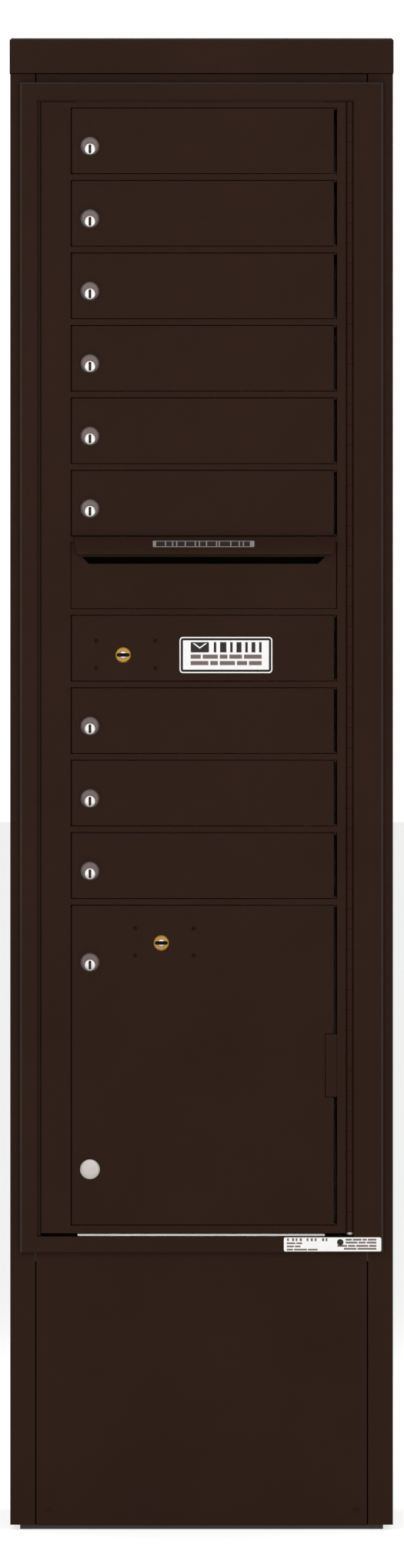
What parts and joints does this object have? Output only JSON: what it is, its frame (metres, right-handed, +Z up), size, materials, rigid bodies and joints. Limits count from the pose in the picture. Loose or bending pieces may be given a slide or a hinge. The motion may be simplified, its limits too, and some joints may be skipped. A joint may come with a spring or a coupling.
{
  "type": "cluster mailbox unit",
  "caption": "Free-standing cluster mailbox cabinet: a column of locked tenant doors, a hooded outgoing-mail slot and door, and a parcel locker in one swinging master door.",
  "frame": {"origin": "on the floor, at the centre of the whole object's plan", "axes": "+Z up, -Y out of the doors towards the user, +X to the user's right"},
  "size_m": [0.4734, 0.492, 1.8374],
  "materials": {
    "bronze_powder_coat": "satin-matt dark bronze powder coat with a very fine texture",
    "plinth_coat": "matt dark grey coat",
    "mill_aluminium": "bare rolled sheet, satin",
    "zinc_plated_steel": "satin zinc plate",
    "lock_body_metal": "satin plated zinc",
    "lock_plug_chrome": "bright chrome",
    "lock_brass": "machined brass, lightly tarnished",
    "blank_plug_metal": "pale satin metal"
  },
  "bodies": {
    "cabinet": {"base_plinth": "plinth_coat", "left_side_panel": "bronze_powder_coat", "right_side_panel": "bronze_powder_coat", "rear_panel": "bronze_powder_coat", "top_cap": "bronze_powder_coat", "upper_front_filler": "bronze_powder_coat", "lower_front_panel": "bronze_powder_coat", "module_trim_frame": "bronze_powder_coat", "module_housing_liner": "mill_aluminium", "module_housing_flange": "mill_aluminium", "module_shelves_upper": "mill_aluminium", "module_shelves_lower": "mill_aluminium", "module_support_shelf": "zinc_plated_steel", "latch_keeper": "zinc_plated_steel", "master_hinge_frame_leaf": "bronze_powder_coat"},
    "master_door": {"master_door_frame": "bronze_powder_coat", "master_hinge_door_leaf": "bronze_powder_coat", "mail_slot_panel": "bronze_powder_coat", "mail_slot_hood": "bronze_powder_coat", "mail_slot_baffle": "bronze_powder_coat", "parcel_hinge_bracket": "bronze_powder_coat"},
    "latch": {"latch_bar": "zinc_plated_steel"},
    "door_1": {"tenant_door_1": "bronze_powder_coat", "tenant_lock_1": "lock_body_metal"},
    "plug_1": {"tenant_lock_plug_1": "lock_plug_chrome"},
    "door_2": {"tenant_door_2": "bronze_powder_coat", "tenant_lock_2": "lock_body_metal"},
    "plug_2": {"tenant_lock_plug_2": "lock_plug_chrome"},
    "door_3": {"tenant_door_3": "bronze_powder_coat", "tenant_lock_3": "lock_body_metal"},
    "plug_3": {"tenant_lock_plug_3": "lock_plug_chrome"},
    "door_4": {"tenant_door_4": "bronze_powder_coat", "tenant_lock_4": "lock_body_metal"},
    "plug_4": {"tenant_lock_plug_4": "lock_plug_chrome"},
    "door_5": {"tenant_door_5": "bronze_powder_coat", "tenant_lock_5": "lock_body_metal"},
    "plug_5": {"tenant_lock_plug_5": "lock_plug_chrome"},
    "door_6": {"tenant_door_6": "bronze_powder_coat", "tenant_lock_6": "lock_body_metal"},
    "plug_6": {"tenant_lock_plug_6": "lock_plug_chrome"},
    "door_7": {"tenant_door_7": "bronze_powder_coat", "tenant_lock_7": "lock_body_metal"},
    "plug_7": {"tenant_lock_plug_7": "lock_plug_chrome"},
    "door_8": {"tenant_door_8": "bronze_powder_coat", "tenant_lock_8": "lock_body_metal"},
    "plug_8": {"tenant_lock_plug_8": "lock_plug_chrome"},
    "door_9": {"tenant_door_9": "bronze_powder_coat", "tenant_lock_9": "lock_body_metal"},
    "plug_9": {"tenant_lock_plug_9": "lock_plug_chrome"},
    "outgoing_door": {"outgoing_mail_door": "bronze_powder_coat", "outgoing_arrow_lock_case": "lock_brass"},
    "outgoing_arrow_plug": {"outgoing_arrow_lock_plug": "lock_plug_chrome"},
    "outgoing_arrow_bolt": {"outgoing_arrow_lock_bolt": "zinc_plated_steel"},
    "parcel_door": {"parcel_door": "bronze_powder_coat", "parcel_lock": "lock_body_metal", "parcel_arrow_lock_case": "lock_brass", "parcel_blank_plug": "blank_plug_metal"},
    "parcel_plug": {"parcel_lock_plug": "lock_plug_chrome"},
    "parcel_arrow_plug": {"parcel_arrow_lock_plug": "lock_plug_chrome"},
    "parcel_arrow_bolt": {"parcel_arrow_lock_bolt": "zinc_plated_steel"}
  },
  "joints": [
    {"name": "master_door_hinge", "type": "hinge", "parent": "cabinet", "child": "master_door", "pos_m": [0.1826, -0.2305, 1.062], "axis": [0, 0, 1], "range_deg": [0, 100]},
    {"name": "latch_slide", "type": "slide", "parent": "master_door", "child": "latch", "axis": [0, 0, -1], "range_m": [0, 0.012]},
    {"name": "door_1_hinge", "type": "hinge", "parent": "master_door", "child": "door_1", "pos_m": [0.1651, -0.2313, 1.7107], "axis": [0, 0, 1], "range_deg": [0, 90]},
    {"name": "lock_1_turn", "type": "hinge", "parent": "door_1", "child": "plug_1", "pos_m": [-0.1376, -0.229, 1.7006], "axis": [0, 1, 0], "range_deg": [0, 90]},
    {"name": "door_2_hinge", "type": "hinge", "parent": "master_door", "child": "door_2", "pos_m": [0.1651, -0.2313, 1.62145], "axis": [0, 0, 1], "range_deg": [0, 90]},
    {"name": "lock_2_turn", "type": "hinge", "parent": "door_2", "child": "plug_2", "pos_m": [-0.1376, -0.229, 1.61135], "axis": [0, 1, 0], "range_deg": [0, 90]},
    {"name": "door_3_hinge", "type": "hinge", "parent": "master_door", "child": "door_3", "pos_m": [0.1651, -0.2313, 1.5322], "axis": [0, 0, 1], "range_deg": [0, 90]},
    {"name": "lock_3_turn", "type": "hinge", "parent": "door_3", "child": "plug_3", "pos_m": [-0.1376, -0.229, 1.5221], "axis": [0, 1, 0], "range_deg": [0, 90]},
    {"name": "door_4_hinge", "type": "hinge", "parent": "master_door", "child": "door_4", "pos_m": [0.1651, -0.2313, 1.44295], "axis": [0, 0, 1], "range_deg": [0, 90]},
    {"name": "lock_4_turn", "type": "hinge", "parent": "door_4", "child": "plug_4", "pos_m": [-0.1376, -0.229, 1.43285], "axis": [0, 1, 0], "range_deg": [0, 90]},
    {"name": "door_5_hinge", "type": "hinge", "parent": "master_door", "child": "door_5", "pos_m": [0.1651, -0.2313, 1.3537], "axis": [0, 0, 1], "range_deg": [0, 90]},
    {"name": "lock_5_turn", "type": "hinge", "parent": "door_5", "child": "plug_5", "pos_m": [-0.1376, -0.229, 1.3436], "axis": [0, 1, 0], "range_deg": [0, 90]},
    {"name": "door_6_hinge", "type": "hinge", "parent": "master_door", "child": "door_6", "pos_m": [0.1651, -0.2313, 1.26445], "axis": [0, 0, 1], "range_deg": [0, 90]},
    {"name": "lock_6_turn", "type": "hinge", "parent": "door_6", "child": "plug_6", "pos_m": [-0.1376, -0.229, 1.25435], "axis": [0, 1, 0], "range_deg": [0, 90]},
    {"name": "door_7_hinge", "type": "hinge", "parent": "master_door", "child": "door_7", "pos_m": [0.1651, -0.2313, 0.9967], "axis": [0, 0, 1], "range_deg": [0, 90]},
    {"name": "lock_7_turn", "type": "hinge", "parent": "door_7", "child": "plug_7", "pos_m": [-0.1376, -0.229, 0.9866], "axis": [0, 1, 0], "range_deg": [0, 90]},
    {"name": "door_8_hinge", "type": "hinge", "parent": "master_door", "child": "door_8", "pos_m": [0.1651, -0.2313, 0.90745], "axis": [0, 0, 1], "range_deg": [0, 90]},
    {"name": "lock_8_turn", "type": "hinge", "parent": "door_8", "child": "plug_8", "pos_m": [-0.1376, -0.229, 0.89735], "axis": [0, 1, 0], "range_deg": [0, 90]},
    {"name": "door_9_hinge", "type": "hinge", "parent": "master_door", "child": "door_9", "pos_m": [0.1651, -0.2313, 0.8182], "axis": [0, 0, 1], "range_deg": [0, 90]},
    {"name": "lock_9_turn", "type": "hinge", "parent": "door_9", "child": "plug_9", "pos_m": [-0.1376, -0.229, 0.8081], "axis": [0, 1, 0], "range_deg": [0, 90]},
    {"name": "outgoing_door_hinge", "type": "hinge", "parent": "master_door", "child": "outgoing_door", "pos_m": [0.1651, -0.2313, 1.08595], "axis": [0, 0, 1], "range_deg": [0, 90]},
    {"name": "outgoing_arrow_lock_turn", "type": "hinge", "parent": "outgoing_door", "child": "outgoing_arrow_plug", "pos_m": [-0.0967, -0.229, 1.07755], "axis": [0, 1, 0], "range_deg": [0, 90]},
    {"name": "outgoing_arrow_bolt_slide", "type": "slide", "parent": "outgoing_door", "child": "outgoing_arrow_bolt", "axis": [-1, 0, 0], "range_m": [0, 0.009]},
    {"name": "parcel_door_hinge", "type": "hinge", "parent": "master_door", "child": "parcel_door", "pos_m": [0.1651, -0.2313, 0.57245], "axis": [0, 0, 1], "range_deg": [0, 90]},
    {"name": "parcel_lock_turn", "type": "hinge", "parent": "parcel_door", "child": "parcel_plug", "pos_m": [-0.1376, -0.229, 0.69565], "axis": [0, 1, 0], "range_deg": [0, 90]},
    {"name": "parcel_arrow_lock_turn", "type": "hinge", "parent": "parcel_door", "child": "parcel_arrow_plug", "pos_m": [-0.0497, -0.229, 0.72285], "axis": [0, 1, 0], "range_deg": [0, 90]},
    {"name": "parcel_arrow_bolt_slide", "type": "slide", "parent": "parcel_door", "child": "parcel_arrow_bolt", "axis": [-1, 0, 0], "range_m": [0, 0.009]}
  ],
  "couplings": [
    {"joint": "outgoing_arrow_lock_turn", "follows": "outgoing_arrow_bolt_slide", "rad_per_m": 174.5},
    {"joint": "parcel_arrow_lock_turn", "follows": "parcel_arrow_bolt_slide", "rad_per_m": 174.5}
  ]
}
